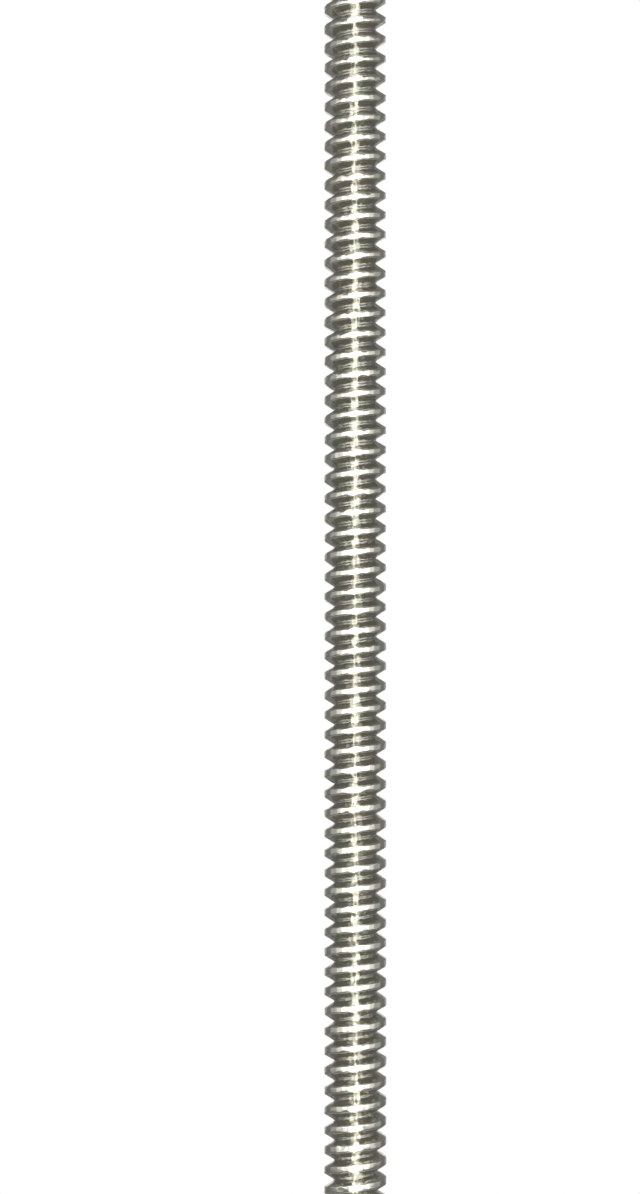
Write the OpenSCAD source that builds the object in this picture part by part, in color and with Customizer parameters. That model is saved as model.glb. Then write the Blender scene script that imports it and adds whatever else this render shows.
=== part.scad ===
// Threaded rod: a plain round bar that carries one right-hand, single-start V thread
// from end to end. Both ends are cut square and chamfered below the groove.
// The rod stands along +Z, and the origin is the centre of its lower end face.

/* [Rod] */
// Length from end face to end face
rod_length = 160; // [20:1:180]
// Outside diameter, over the crests
major_diameter = 8; // [6:0.5:12]
// Length of the 45 degree chamfer at each end
end_chamfer = 1.4; // [0.5:0.1:1.6]

/* [Thread] */
// Distance along the rod from one crest to the next
pitch = 2.5; // [2:0.1:3.5]
// Width of the flat on top of each crest
crest_flat = 0.6; // [0.3:0.01:0.8]
// Width of the flat at the bottom of the groove
root_flat = 0.34; // [0.2:0.01:0.9]
// Angle between the two sides of the groove
groove_angle = 60; // [55:1:70]

/* [Detail] */
// Most flats in one turn of the groove, of which a long or fine thread gets fewer
most_turn_flats = 20; // [16:1:24]
// Most facets on the whole groove
most_facets = 11500; // [8000:100:12000]

/* [Hidden] */

// Groove form
crest_radius = major_diameter / 2;
side_slope = tan(groove_angle / 2);
groove_depth = (pitch - crest_flat - root_flat) / 2 / side_slope;
root_radius = crest_radius - groove_depth;

// The thread starts a turn below the rod and ends a turn above it, and the ends cut it off
first_turn = -1;
turns = ceil(rod_length / pitch) + 2;
corners = 4;
facets_per_flat = 2 * corners;
turn_flats = min(most_turn_flats, floor(most_facets / (facets_per_flat * turns)));
flats = turns * turn_flats;

// The ridge is drawn a little proud, so that each of its flats clears the round of the bar
ridge_clearance = 0.02;
ridge_radius = crest_radius / cos(180 / turn_flats) + ridge_clearance;
ridge_half = crest_flat / 2 - (ridge_radius - crest_radius) * side_slope;

// One pitch of the thread as [radius, height]: over the ridge, then across the root
profile = [
    [ridge_radius, -ridge_half],
    [ridge_radius, ridge_half],
    [root_radius, pitch / 2 - root_flat / 2],
    [root_radius, pitch / 2 + root_flat / 2],
];

// The blank is a true round
blank_flats = 96;

// A profile corner's point at one step along the thread
function thread_point(step, corner) =
    let (turn = first_turn + step / turn_flats, form = profile[corner])
    [form[0] * cos(360 * turn), form[0] * sin(360 * turn), form[1] + pitch * turn];

// That point's place in the list, where the corner after the last is the next turn's first
function place(step, corner) =
    corner < corners ? step * corners + corner : (step + turn_flats) * corners;

// Solid thread with no blank around it, closed by a shallow cone at each end
module thread_form() {
    last_step = flats + turn_flats;
    thread_points = [for (step = [0:last_step], corner = [0:corners - 1]) thread_point(step, corner)];
    low_tip = len(thread_points);
    high_tip = low_tip + 1;
    tips = [[0, 0, pitch * (first_turn - 1)], [0, 0, pitch * (first_turn + turns + 1)]];
    skin = [
        for (step = [0:flats - 1], corner = [0:corners - 1])
        let (a = place(step, corner), b = place(step, corner + 1))
        let (c = place(step + 1, corner + 1), d = place(step + 1, corner))
        each [[a, b, c], [a, c, d]]
    ];
    low_end = [
        for (step = [0:turn_flats - 1]) [low_tip, place(step, 0), place(step + 1, 0)],
        for (corner = [0:corners - 1]) [low_tip, place(0, corner + 1), place(0, corner)],
    ];
    high_end = [
        for (step = [flats:last_step - 1]) [high_tip, place(step + 1, 0), place(step, 0)],
        for (corner = [0:corners - 1]) [high_tip, place(flats, corner), place(flats, corner + 1)],
    ];
    polyhedron(concat(thread_points, tips), concat(skin, low_end, high_end));
}

// Round bar with its two chamfers
module blank() {
    end_radius = crest_radius - end_chamfer;
    rotate_extrude($fn = blank_flats)
        polygon([
            [0, 0],
            [end_radius, 0],
            [crest_radius, end_chamfer],
            [crest_radius, rod_length - end_chamfer],
            [end_radius, rod_length],
            [0, rod_length],
        ]);
}

module threaded_rod() {
    color("#b9b7ab")
        intersection() {
            blank();
            thread_form();
        }
}

threaded_rod();
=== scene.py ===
import math

import bpy
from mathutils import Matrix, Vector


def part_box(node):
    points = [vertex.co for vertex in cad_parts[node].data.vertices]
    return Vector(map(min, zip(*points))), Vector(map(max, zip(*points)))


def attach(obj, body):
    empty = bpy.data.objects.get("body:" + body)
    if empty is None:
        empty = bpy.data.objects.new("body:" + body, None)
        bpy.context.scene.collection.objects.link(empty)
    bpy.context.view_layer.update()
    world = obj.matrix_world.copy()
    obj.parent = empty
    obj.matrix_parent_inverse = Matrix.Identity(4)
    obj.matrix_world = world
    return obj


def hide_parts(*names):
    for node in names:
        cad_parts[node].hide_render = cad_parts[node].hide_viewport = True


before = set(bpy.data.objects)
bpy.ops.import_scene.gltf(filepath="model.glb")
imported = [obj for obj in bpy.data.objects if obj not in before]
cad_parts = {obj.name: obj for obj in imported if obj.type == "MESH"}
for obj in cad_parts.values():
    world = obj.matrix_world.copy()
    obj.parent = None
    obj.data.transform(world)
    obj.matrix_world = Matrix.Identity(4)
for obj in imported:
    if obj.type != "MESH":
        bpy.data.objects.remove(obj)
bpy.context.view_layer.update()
millimetre = 0.001
rodLow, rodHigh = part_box("threaded_rod")
rodLength = rodHigh.z - rodLow.z
crestRadius = rodHigh.x
print("frame loaded, rod length", round(rodLength, 4))


def feed(tree, socket, value):
    # links a socket, or sets a plain value
    if isinstance(value, bpy.types.NodeSocket):
        tree.links.new(value, socket)
    else:
        socket.default_value = value


def addNode(tree, kind, inputs=None, **settings):
    node = tree.nodes.new(kind)
    for name, value in settings.items():
        setattr(node, name, value)
    for name, value in (inputs or {}).items():
        feed(tree, node.inputs[name], value)
    return node


def calc(tree, operation, *values):
    node = addNode(tree, "ShaderNodeMath", operation=operation)
    for socket, value in zip(node.inputs, values):
        feed(tree, socket, value)
    return node.outputs[0]


def total(tree, first, *others):
    for other in others:
        first = calc(tree, "ADD", first, other)
    return first


def product(tree, first, *others):
    for other in others:
        first = calc(tree, "MULTIPLY", first, other)
    return first


def difference(tree, first, second):
    return calc(tree, "SUBTRACT", first, second)


def ratio(tree, first, second):
    return calc(tree, "DIVIDE", first, second)


def lesser(tree, first, second):
    return calc(tree, "MINIMUM", first, second)


def greater(tree, first, second):
    return calc(tree, "MAXIMUM", first, second)


def spread(tree, value, source, target):
    # maps one range of a value to another, held at both ends
    node = addNode(tree, "ShaderNodeMapRange", {
        "Value": value, "From Min": source[0], "From Max": source[1],
        "To Min": target[0], "To Max": target[1],
    })
    return node.outputs["Result"]


def makeVector(tree, x, y, z):
    return addNode(tree, "ShaderNodeCombineXYZ", {"X": x, "Y": y, "Z": z}).outputs[0]


def scaleVector(tree, vector, factor):
    node = addNode(tree, "ShaderNodeVectorMath", operation="SCALE")
    feed(tree, node.inputs[0], vector)
    feed(tree, node.inputs["Scale"], factor)
    return node.outputs[0]


def noiseValue(tree, vector, scale, detail, roughness, seed=None):
    # a noise between 0 and 1, with a fourth dimension where a seed is given
    node = addNode(tree, "ShaderNodeTexNoise", {
        "Vector": vector, "Scale": scale, "Detail": detail, "Roughness": roughness})
    if seed is not None:
        node.noise_dimensions = "4D"
        feed(tree, node.inputs["W"], seed)
    return node.outputs[0]


rodSettings = {
    "pitch": 2.5 * millimetre,
    "rootRadius": 2.65 * millimetre,
    "crestFlat": 0.66 * millimetre,
    "crestGrowth": 0.13 * millimetre,  # how much wider the crest gets toward the lower end
    "growthReach": 0.6,  # share of the length, from the lower end, over which that fades
    "sideAngle": math.radians(31),
    "crestRounding": 0.13 * millimetre,
    "rootRounding": 0.38 * millimetre,
    "crown": 20 * millimetre,  # the crest's top is an arc of this radius
    "endChamfer": 1.4 * millimetre,
    "unevenness": 0.13 * millimetre,  # how far the crest's height and the groove's depth wander
    "edgeWander": 0.3 * millimetre,  # how far the crest's edges wander along the rod
    "wearNoise": (-0.2, 0.25),  # fine noise from where the crest's edge is sharp to where it is worn
    "wearRounding": (0.3, 3.2),  # how many times its rounding the edge has there
    "nickDepth": 0.1 * millimetre,
    "nickScale": 0.4,  # cells that may hold a nick, to a millimetre
    "nickSize": 0.28,  # a nick's radius, as a share of its cell
    "slowNoise": (0.45, 2.0, 0.5),  # scale, detail and roughness
    "fineNoise": (1.8, 3.0, 0.5),
    "fineSeed": 7.0,  # added to the seed for the fine noise
    "seed": 4,
    "turnSteps": 92,
    "profileSteps": 16,
    # where the points of the profile lie, from the middle of the crest to the bottom of the groove
    "profilePlaces": [0.0, 0.18, 0.25, 0.315, 0.39, 0.74, 0.83, 0.915, 1.0],
    "spareTurns": 1.0,  # turns past each end, which the ends cut off
    "weldDistance": 0.002 * millimetre,
    "creaseAngle": math.radians(38),
}


def threadInputs(material):
    # name, kind and value of each input of the thread's tree
    own = rodSettings
    return [
        ("Length", "Float", rodLength),
        ("Crest Radius", "Float", crestRadius),
        ("Root Radius", "Float", own["rootRadius"]),
        ("Pitch", "Float", own["pitch"]),
        ("Crest Flat", "Float", own["crestFlat"]),
        ("Crest Growth", "Float", own["crestGrowth"]),
        ("Side Angle", "Float", own["sideAngle"]),
        ("Crest Rounding", "Float", own["crestRounding"]),
        ("Root Rounding", "Float", own["rootRounding"]),
        ("End Chamfer", "Float", own["endChamfer"]),
        ("Unevenness", "Float", own["unevenness"]),
        ("Edge Wander", "Float", own["edgeWander"]),
        ("Nick Depth", "Float", own["nickDepth"]),
        ("Turn Steps", "Int", own["turnSteps"]),
        ("Profile Steps", "Int", own["profileSteps"]),
        ("Seed", "Int", own["seed"]),
        ("Material", "Material", material),
    ]


def addInputs(tree, wanted):
    # makes the sockets, and returns each input's value by its identifier
    tree.interface.new_socket("Geometry", in_out="INPUT", socket_type="NodeSocketGeometry")
    values = {}
    for name, kind, value in wanted:
        socket = tree.interface.new_socket(name, in_out="INPUT", socket_type="NodeSocket" + kind)
        values[socket.identifier] = value
    tree.interface.new_socket("Geometry", in_out="OUTPUT", socket_type="NodeSocketGeometry")
    return values


def setCurve(node, places):
    # a curve of straight runs through evenly spaced places
    curve = node.mapping.curves[0]
    for i, place in enumerate(places):
        spot = i / (len(places) - 1), place
        point = curve.points[i] if i < 2 else curve.points.new(*spot)
        point.location = spot
        point.handle_type = "VECTOR"
    node.mapping.update()


def helixStrip(tree, given):
    # a flat strip: one way along the helix in turns, the other across one pitch of the profile
    spare = rodSettings["spareTurns"]
    turns = total(tree, ratio(tree, given["Length"], given["Pitch"]), 2 * spare)
    strip = addNode(tree, "GeometryNodeMeshGrid", {
        "Size X": 1.0, "Size Y": 1.0,
        "Vertices X": total(tree, product(tree, turns, given["Turn Steps"]), 1.0),
        "Vertices Y": total(tree, given["Profile Steps"], 1.0),
    }).outputs["Mesh"]
    position = addNode(tree, "GeometryNodeInputPosition").outputs[0]
    place = addNode(tree, "ShaderNodeSeparateXYZ", {"Vector": position}).outputs
    turn = difference(tree, product(tree, total(tree, place["X"], 0.5), turns), spare)
    return strip, turn, total(tree, place["Y"], 0.5)


def crowdPoints(tree, across):
    # the points crowd where the profile bends, on both sides of the groove's bottom
    fold = calc(tree, "PINGPONG", product(tree, across, 2.0), 1.0)
    crowd = addNode(tree, "ShaderNodeFloatCurve", {"Value": fold})
    setCurve(crowd, rodSettings["profilePlaces"])
    moved = product(tree, difference(tree, crowd.outputs[0], fold), 0.5)
    side = calc(tree, "SIGN", difference(tree, 0.5, across))
    return total(tree, across, product(tree, moved, side))


def pointOnRod(tree, around, radius, height):
    cosine, sine = around
    return makeVector(tree, product(tree, cosine, radius), product(tree, sine, radius), height)


def crestTop(tree, given, skin, fromCrest, slow):
    # slightly crowned, uneven in height and nicked
    lower = product(tree, total(tree, slow, 0.5), given["Unevenness"])
    top = difference(tree, given["Crest Radius"], lower)
    crown = ratio(tree, product(tree, fromCrest, fromCrest), 2 * rodSettings["crown"])
    cells = addNode(tree, "ShaderNodeTexVoronoi", {
        "Vector": skin, "Scale": rodSettings["nickScale"], "W": given["Seed"],
    }, voronoi_dimensions="4D")
    nick = spread(tree, cells.outputs["Distance"], (0.0, rodSettings["nickSize"]), (1.0, 0.0))
    return difference(tree, difference(tree, top, crown), product(tree, nick, given["Nick Depth"]))


def threadRadius(tree, given, turn, height, skin):
    own = rodSettings
    slow = difference(tree, noiseValue(tree, skin, *own["slowNoise"], seed=given["Seed"]), 0.5)
    fineSeed = total(tree, given["Seed"], own["fineSeed"])
    fine = difference(tree, noiseValue(tree, skin, *own["fineNoise"], seed=fineSeed), 0.5)

    # distance along the rod from the middle of the nearest crest
    phase = calc(tree, "FRACT", difference(tree, ratio(tree, height, given["Pitch"]), turn))
    fromCrest = product(tree, lesser(tree, phase, difference(tree, 1.0, phase)), given["Pitch"])
    fromCrest = total(tree, fromCrest, product(tree, fine, given["Edge Wander"]))

    # the groove's side, then the crest and the bottom, rounded where they meet it
    share = ratio(tree, height, given["Length"])
    growth = spread(tree, share, (0.0, own["growthReach"]), (given["Crest Growth"], 0.0))
    halfFlat = product(tree, total(tree, given["Crest Flat"], growth), 0.5)
    fromFlat = difference(tree, fromCrest, halfFlat)
    side = ratio(tree, fromFlat, calc(tree, "TANGENT", given["Side Angle"]))
    side = difference(tree, given["Crest Radius"], side)
    worn = spread(tree, fine, own["wearNoise"], own["wearRounding"])
    rounding = product(tree, worn, given["Crest Rounding"])
    radius = calc(tree, "SMOOTH_MIN", side, crestTop(tree, given, skin, fromCrest, slow), rounding)
    bottom = total(tree, given["Root Radius"], product(tree, slow, given["Unevenness"]))
    return calc(tree, "SMOOTH_MAX", radius, bottom, given["Root Rounding"])


def sawnFaces(tree, given, endRadius):
    disc = addNode(tree, "GeometryNodeMeshCircle", {
        "Vertices": given["Turn Steps"], "Radius": endRadius}, fill_type="TRIANGLE_FAN").outputs[0]
    lift = makeVector(tree, 0.0, 0.0, given["Length"])
    upper = addNode(tree, "GeometryNodeTransform", {"Geometry": disc, "Translation": lift})
    lower = addNode(tree, "GeometryNodeFlipFaces", {"Mesh": disc})
    return upper.outputs[0], lower.outputs[0]


def weld(tree, parts):
    joined = addNode(tree, "GeometryNodeJoinGeometry")
    for part in parts:
        tree.links.new(part, joined.inputs[0])
    return addNode(tree, "GeometryNodeMergeByDistance", {
        "Geometry": joined.outputs[0], "Distance": rodSettings["weldDistance"]}).outputs[0]


def shadeSmooth(tree, mesh):
    # smooth all over, but crisp where it was cut
    smooth = addNode(tree, "GeometryNodeSetShadeSmooth", {
        "Geometry": mesh, "Shade Smooth": True}).outputs[0]
    bend = addNode(tree, "GeometryNodeInputMeshEdgeAngle").outputs["Unsigned Angle"]
    crisp = addNode(tree, "FunctionNodeCompare", {
        "A": bend, "B": rodSettings["creaseAngle"]}, operation="GREATER_THAN").outputs[0]
    return addNode(tree, "GeometryNodeSetShadeSmooth", {
        "Geometry": smooth, "Selection": crisp, "Shade Smooth": False}, domain="EDGE").outputs[0]


def buildThread(tree):
    given = addNode(tree, "NodeGroupInput").outputs
    strip, turn, across = helixStrip(tree, given)
    along = total(tree, turn, crowdPoints(tree, across))
    height = greater(tree, product(tree, along, given["Pitch"]), 0.0)
    height = lesser(tree, height, given["Length"])
    angle = product(tree, turn, 2 * math.pi)
    around = calc(tree, "COSINE", angle), calc(tree, "SINE", angle)

    # the wander is read in millimetres on the bar's skin
    skin = scaleVector(tree, pointOnRod(tree, around, given["Crest Radius"], height), 1 / millimetre)
    radius = threadRadius(tree, given, turn, height, skin)

    # the chamfer at each end
    fromEnd = lesser(tree, height, difference(tree, given["Length"], height))
    endRadius = difference(tree, given["Crest Radius"], given["End Chamfer"])
    radius = lesser(tree, radius, total(tree, endRadius, fromEnd))
    thread = addNode(tree, "GeometryNodeSetPosition", {
        "Geometry": strip, "Position": pointOnRod(tree, around, radius, height)}).outputs[0]

    parts = thread, *sawnFaces(tree, given, endRadius)
    solid = shadeSmooth(tree, weld(tree, parts))
    realized = addNode(tree, "GeometryNodeRealizeInstances", {"Geometry": solid}).outputs[0]
    finished = addNode(tree, "GeometryNodeSetMaterial", {
        "Geometry": realized, "Material": given["Material"]}).outputs[0]
    tree.links.new(finished, addNode(tree, "NodeGroupOutput").inputs[0])


# a depth is 0 at the crest and 1 at the bottom of the groove
steelSettings = {
    "crestColor": (0.65, 0.644, 0.577, 1),
    # the groove is darker and warmer than the crest: painted shade in the groove, with a warmer tint
    "shadedGrooveColor": (0.573, 0.566, 0.494, 1),
    "rootColor": (0.62, 0.618, 0.585, 1),  # lighter and less yellow at the bottom of the groove, where the painted shade and the film ease off
    "filmAndShadeColor": (0.47, 0.457, 0.385, 1),
    "filmPatches": (0.5, 0.75),  # patch noise from where there is no film to where there is most
    "filmMost": 0.55,
    "filmAndShadeDepths": (0.3, 1.0),
    "filmAndShadeShares": (0.15, 1.0),  # how much of the film is left at those depths; it grows toward the bottom of the groove, partly a real film and partly painted shade
    "greenTint": (0.98, 1.0, 0.985, 1),  # faint tints, and the surface drifts from one to the other
    "redTint": (1.022, 0.988, 0.992, 1),
    "tintNoise": (0.3, 2.0, 0.5),
    "tintRange": (0.35, 0.65),
    "anisotropy": 0.3,
    "crestRoughness": 0.12,
    "grooveRoughness": 0.17,
    "grooveDepths": (0.0, 0.6),  # from where the crest's roughness ends to where the groove's begins
    "rootRoughness": 0.02,  # added toward the bottom of the groove
    "rootDepths": (0.75, 1.0),
    "ringRoughness": 0.16,  # added where the ends were cut
    "noiseMiddle": (0.3, 0.7),  # most of a noise lies here, and its effects below are spread over it
    "lineNoise": (1.0, 3.0, 0.6),  # scale, detail and roughness, as of every noise here
    "lineCount": 26,  # fine lines across one pitch
    "lineChange": 0.25,  # how fast they change up the rod, to a millimetre
    "lineShift": 2.0,  # and across its depth
    "lineShade": (0.94, 1.04),  # a shade multiplies the colour
    "lineRoughness": (-0.02, 0.03),
    "lineDepth": 0.0018 * millimetre,
    "patchNoise": (0.55, 4.0, 0.6),
    "patchShade": (1.03, 0.96),
    "patchRoughness": (-0.02, 0.05),
    "roughPatches": (0.35, 0.75),  # patch noise over which that is spread
    "grainNoise": (2.8, 3.0, 0.6),
    "grainDepth": 0.012 * millimetre,
    "flankGrain": 0.12,  # share of the grain's depth on the groove's sides
    "flankDepths": (0.1, 0.25),  # where the grain fades below the crest
    "grainedRoot": (0.75, 0.9),  # where it comes back toward the bottom
    "ringNoise": (1.0, 3.0, 0.7),
    "ringCount": 7.0,  # rings to a millimetre
    "ringDrift": 0.25,  # how fast they change across the face
    "ringShade": (0.72, 1.15),
    "ringDepth": 0.02 * millimetre,
    "chamferReach": 0.02,  # in millimetres, how near to a cut the surface counts as cut
    "faceReach": 0.004,
}


def mixColor(tree, factor, first, second):
    node = addNode(tree, "ShaderNodeMix", data_type="RGBA")
    feed(tree, node.inputs["Factor"], factor)
    feed(tree, node.inputs["A"], first)
    feed(tree, node.inputs["B"], second)
    return node.outputs["Result"]


def multiplyColors(tree, first, second):
    node = addNode(tree, "ShaderNodeVectorMath", operation="MULTIPLY")
    feed(tree, node.inputs[0], first)
    feed(tree, node.inputs[1], second)
    return node.outputs[0]


def cutMask(tree, radius, fromEnd):
    # 1 on the faces and chamfers cut at the ends
    endRadius = (crestRadius - rodSettings["endChamfer"]) / millimetre
    below = difference(tree, total(tree, fromEnd, endRadius), radius)
    onChamfer = calc(tree, "LESS_THAN", below, steelSettings["chamferReach"])
    onFace = calc(tree, "LESS_THAN", fromEnd, steelSettings["faceReach"])
    return greater(tree, onChamfer, onFace)


def threadLines(tree, x, y, z, radius):
    # the helix runs along the lines, so a phase that stays the same along it draws them
    own = steelSettings
    turn = ratio(tree, calc(tree, "ARCTAN2", y, x), 2 * math.pi)
    phase = difference(tree, ratio(tree, z, rodSettings["pitch"] / millimetre), turn)
    lined = product(tree, calc(tree, "FRACT", phase), own["lineCount"])
    change, shift = product(tree, z, own["lineChange"]), product(tree, radius, own["lineShift"])
    return noiseValue(tree, makeVector(tree, lined, change, shift), *own["lineNoise"])


def turnedRings(tree, x, y, radius, fromEnd):
    own = steelSettings
    ring = product(tree, total(tree, radius, fromEnd), own["ringCount"])
    driftX, driftY = product(tree, x, own["ringDrift"]), product(tree, y, own["ringDrift"])
    return noiseValue(tree, makeVector(tree, ring, driftX, driftY), *own["ringNoise"])


def readSurface(tree):
    # what the finish depends on, in millimetres on the rod
    place = scaleVector(tree, addNode(tree, "ShaderNodeTexCoord").outputs["Object"], 1 / millimetre)
    x, y, z = addNode(tree, "ShaderNodeSeparateXYZ", {"Vector": place}).outputs
    radius = calc(tree, "SQRT", total(tree, product(tree, x, x), product(tree, y, y)))
    fromEnd = lesser(tree, z, difference(tree, rodLength / millimetre, z))
    cut = cutMask(tree, radius, fromEnd)
    uncut = difference(tree, 1.0, cut)
    radii = rodSettings["rootRadius"] / millimetre, crestRadius / millimetre
    return {
        "cut": cut,
        "uncut": uncut,
        "depth": product(tree, spread(tree, radius, radii, (1.0, 0.0)), uncut),
        "lines": threadLines(tree, x, y, z, radius),
        "patches": noiseValue(tree, place, *steelSettings["patchNoise"]),
        "grain": noiseValue(tree, place, *steelSettings["grainNoise"]),
        "tints": noiseValue(tree, place, *steelSettings["tintNoise"]),
        "rings": turnedRings(tree, x, y, radius, fromEnd),
    }


def steelColor(tree, surface):
    own = steelSettings
    # darker toward the bottom of the groove: painted shade, and a warmer tint
    color = mixColor(tree, surface["depth"], own["crestColor"], own["shadedGrooveColor"])
    # patchy film that grows deeper into the groove: a real film, darkened further there as painted
    # shade
    film = spread(tree, surface["patches"], own["filmPatches"], (0.0, own["filmMost"]))
    film = product(tree, film, spread(tree, surface["depth"], own["filmAndShadeDepths"], own["filmAndShadeShares"]))
    color = mixColor(tree, film, color, own["filmAndShadeColor"])
    root = spread(tree, surface["depth"], own["rootDepths"], (0.0, 1.0))
    color = mixColor(tree, root, color, own["rootColor"])
    tint = spread(tree, surface["tints"], own["tintRange"], (0.0, 1.0))
    color = multiplyColors(tree, color, mixColor(tree, tint, own["greenTint"], own["redTint"]))
    lineShade = spread(tree, surface["lines"], own["noiseMiddle"], own["lineShade"])
    patchShade = spread(tree, surface["patches"], own["noiseMiddle"], own["patchShade"])
    ringShade = spread(tree, surface["rings"], own["noiseMiddle"], own["ringShade"])
    shade = total(tree, product(tree, lineShade, patchShade, surface["uncut"]),
                  product(tree, ringShade, surface["cut"]))
    return scaleVector(tree, color, shade)


def steelRoughness(tree, surface):
    own = steelSettings
    depth = surface["depth"]
    return total(
        tree,
        spread(tree, depth, own["grooveDepths"], (own["crestRoughness"], own["grooveRoughness"])),
        spread(tree, depth, own["rootDepths"], (0.0, own["rootRoughness"])),
        spread(tree, surface["cut"], (0.0, 1.0), (0.0, own["ringRoughness"])),
        spread(tree, surface["lines"], own["noiseMiddle"], own["lineRoughness"]),
        spread(tree, surface["patches"], own["roughPatches"], own["patchRoughness"]),
    )


def steelNormal(tree, surface):
    # lines everywhere, grain mostly on the crest and at the bottom, and rings where it was cut
    own = steelSettings
    crestGrain = spread(tree, surface["depth"], own["flankDepths"], (1.0, own["flankGrain"]))
    rootGrain = spread(tree, surface["depth"], own["grainedRoot"], (0.0, 1.0))
    grained = greater(tree, crestGrain, rootGrain)
    height = total(tree, product(tree, surface["lines"], own["lineDepth"]),
                   product(tree, surface["grain"], grained, own["grainDepth"]))
    rings = product(tree, surface["rings"], surface["cut"], own["ringDepth"])
    height = total(tree, product(tree, height, surface["uncut"]), rings)
    bump = addNode(tree, "ShaderNodeBump", {"Height": height, "Distance": 1.0, "Strength": 1.0})
    return bump.outputs[0]


def steelMaterial():
    material = bpy.data.materials.new("rodSteel")
    material.use_nodes = True
    tree = material.node_tree
    shader = tree.nodes["Principled BSDF"]
    shader.inputs["Metallic"].default_value = 1.0
    shader.inputs["Anisotropic"].default_value = steelSettings["anisotropy"]
    aroundRod = addNode(tree, "ShaderNodeTangent", direction_type="RADIAL", axis="Z").outputs[0]
    tree.links.new(aroundRod, shader.inputs["Tangent"])
    surface = readSurface(tree)
    tree.links.new(steelColor(tree, surface), shader.inputs["Base Color"])
    tree.links.new(steelRoughness(tree, surface), shader.inputs["Roughness"])
    tree.links.new(steelNormal(tree, surface), shader.inputs["Normal"])
    return material


def makeRod():
    tree = bpy.data.node_groups.new("rolledThread", "GeometryNodeTree")
    values = addInputs(tree, threadInputs(steelMaterial()))
    buildThread(tree)
    base = bpy.data.objects.new("rodBase", bpy.data.meshes.new("rodBase"))
    bpy.context.scene.collection.objects.link(base)
    modifier = base.modifiers.new("thread", "NODES")
    modifier.node_group = tree
    for identifier, value in values.items():
        modifier[identifier] = value
    evaluated = base.evaluated_get(bpy.context.evaluated_depsgraph_get())
    mesh = bpy.data.meshes.new_from_object(evaluated)
    mesh.name = "threadedRod"
    base.modifiers.clear()
    bpy.data.objects.remove(base)
    rod = bpy.data.objects.new("threadedRod", mesh)
    bpy.context.scene.collection.objects.link(rod)
    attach(rod, "root")
    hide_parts("threaded_rod")
    print("rod made:", len(mesh.polygons), "faces")


makeRod()


cameraSettings = {
    "lens": 109.1,
    "sensorWidth": 36.0,
    "distance": 460 * millimetre,
    "aside": -4.48 * millimetre,  # the rod stands a little right of the middle
    "height": 64.5 * millimetre,
    "lookUp": 1.776,  # in degrees
}


def makeCamera():
    own = cameraSettings
    data = bpy.data.cameras.new("camera")
    data.lens = own["lens"]
    data.sensor_width = own["sensorWidth"]
    camera = bpy.data.objects.new("camera", data)
    camera.location = (own["aside"], -own["distance"], own["height"])
    camera.rotation_euler = (math.radians(90 + own["lookUp"]), 0, 0)
    bpy.context.scene.collection.objects.link(camera)
    bpy.context.scene.camera = camera
    print("camera set")


makeCamera()


# sizes and places in metres: the rod hangs high over a wide floor, before a white plane
stageSettings = {
    "floorSize": (30, 30),
    "floorPlace": (0, 0, -1.4),
    "floorColor": (0.86, 0.86, 0.85, 1),
    "floorRoughness": 0.8,
    "backdropSize": (0.8, 0.75),
    "backdropPlace": (0, 1.6, 0.12),
    "backdropGlow": 1.0,
}


def makePlane(name, size, location, tilt, material):
    bpy.ops.mesh.primitive_plane_add(size=1)
    plane = bpy.context.object
    plane.name = name
    plane.scale = (*size, 1)
    plane.location = location
    plane.rotation_euler = (tilt, 0, 0)
    plane.data.materials.append(material)


def floorMaterial():
    material = bpy.data.materials.new("paleFloor")
    material.use_nodes = True
    shader = material.node_tree.nodes["Principled BSDF"]
    shader.inputs["Base Color"].default_value = stageSettings["floorColor"]
    shader.inputs["Roughness"].default_value = stageSettings["floorRoughness"]
    return material


def backdropMaterial():
    material = bpy.data.materials.new("whiteBackdrop")
    material.use_nodes = True
    tree = material.node_tree
    tree.nodes.clear()
    glow = addNode(tree, "ShaderNodeEmission", {
        "Color": (1, 1, 1, 1), "Strength": stageSettings["backdropGlow"]}).outputs[0]
    tree.links.new(glow, addNode(tree, "ShaderNodeOutputMaterial").inputs["Surface"])
    return material


def makeStage():
    own = stageSettings
    makePlane("floor", own["floorSize"], own["floorPlace"], 0, floorMaterial())
    makePlane("backdrop", own["backdropSize"], own["backdropPlace"], math.pi / 2, backdropMaterial())
    print("stage set")


makeStage()


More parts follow.
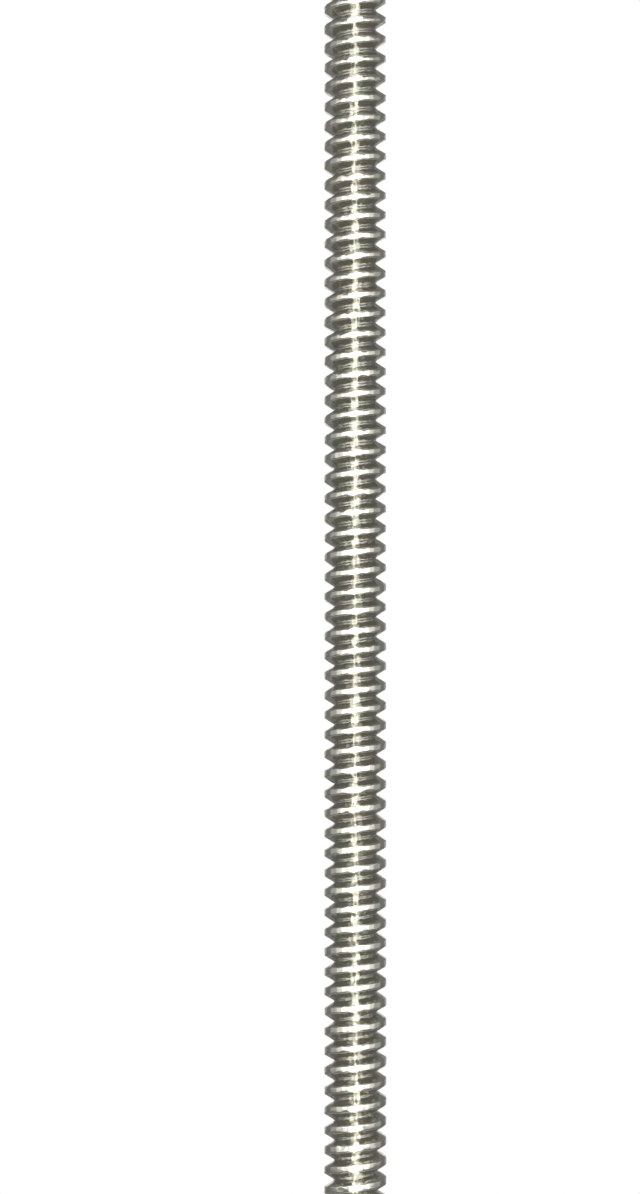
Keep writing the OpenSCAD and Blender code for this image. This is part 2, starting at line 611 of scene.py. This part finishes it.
lampSettings = {
    "world": 0.24,
    "whiteWatts": 4,  # for each square metre of a lamp that looks white
    # a lamp's lowest and highest elevation in degrees, and its distance in metres
    "panelReach": (-11, 14, 1.6),
    # azimuth and width in degrees, and level, where 1 looks white; each panel stands on both sides
    "panels": [(21, 21, 0.75), (42, 20, 1.35), (63, 22, 0.69), (90, 31, 0.23), (160, 40, 0.2)],
    # width, reach and level of the rounded softboxes in front
    "softboxes": [
        (56, (-40, 42, 1.1), 1.1),
        (11, (-66, 66, 0.4), 2.8),
        (26, (-36, -8, 0.7), 0.8),
        (124, (56, 76, 0.6), 0.8),
        (90, (-64, -46, 0.6), 0.6),
    ],
}


def makeLamp(name, shape, azimuth, width, reach, level):
    # a plain soft light that faces the rod
    low, high, distance = reach
    low, high = distance * math.tan(math.radians(low)), distance * math.tan(math.radians(high))
    data = bpy.data.lights.new(name, "AREA")
    data.shape = shape
    data.size = 2 * distance * math.tan(math.radians(width / 2))
    data.size_y = high - low
    area = data.size * data.size_y * (math.pi / 4 if shape == "ELLIPSE" else 1)
    data.energy = lampSettings["whiteWatts"] * level * area
    lamp = bpy.data.objects.new(name, data)
    turn = math.radians(azimuth)
    away = Vector((math.sin(turn), -math.cos(turn), 0))
    lamp.location = away * distance + Vector((0, 0, rodLength / 2 + (low + high) / 2))
    lamp.rotation_euler = away.to_track_quat("Z", "Y").to_euler()
    lamp.visible_camera = False
    bpy.context.scene.collection.objects.link(lamp)


def makeWorld(level):
    world = bpy.data.worlds.new("world")
    world.use_nodes = True
    world.node_tree.nodes["Background"].inputs["Color"].default_value = (level, level, level, 1)
    bpy.context.scene.world = world


def makeLight():
    own = lampSettings
    makeWorld(own["world"])
    for azimuth, width, level in own["panels"]:
        makeLamp("panel", "RECTANGLE", azimuth, width, own["panelReach"], level)
        makeLamp("panel", "RECTANGLE", -azimuth, width, own["panelReach"], level)
    for width, reach, level in own["softboxes"]:
        makeLamp("softbox", "ELLIPSE", 0, width, reach, level)
    print("lamps set")


makeLight()
bpy.context.scene.view_settings.view_transform = "Standard"
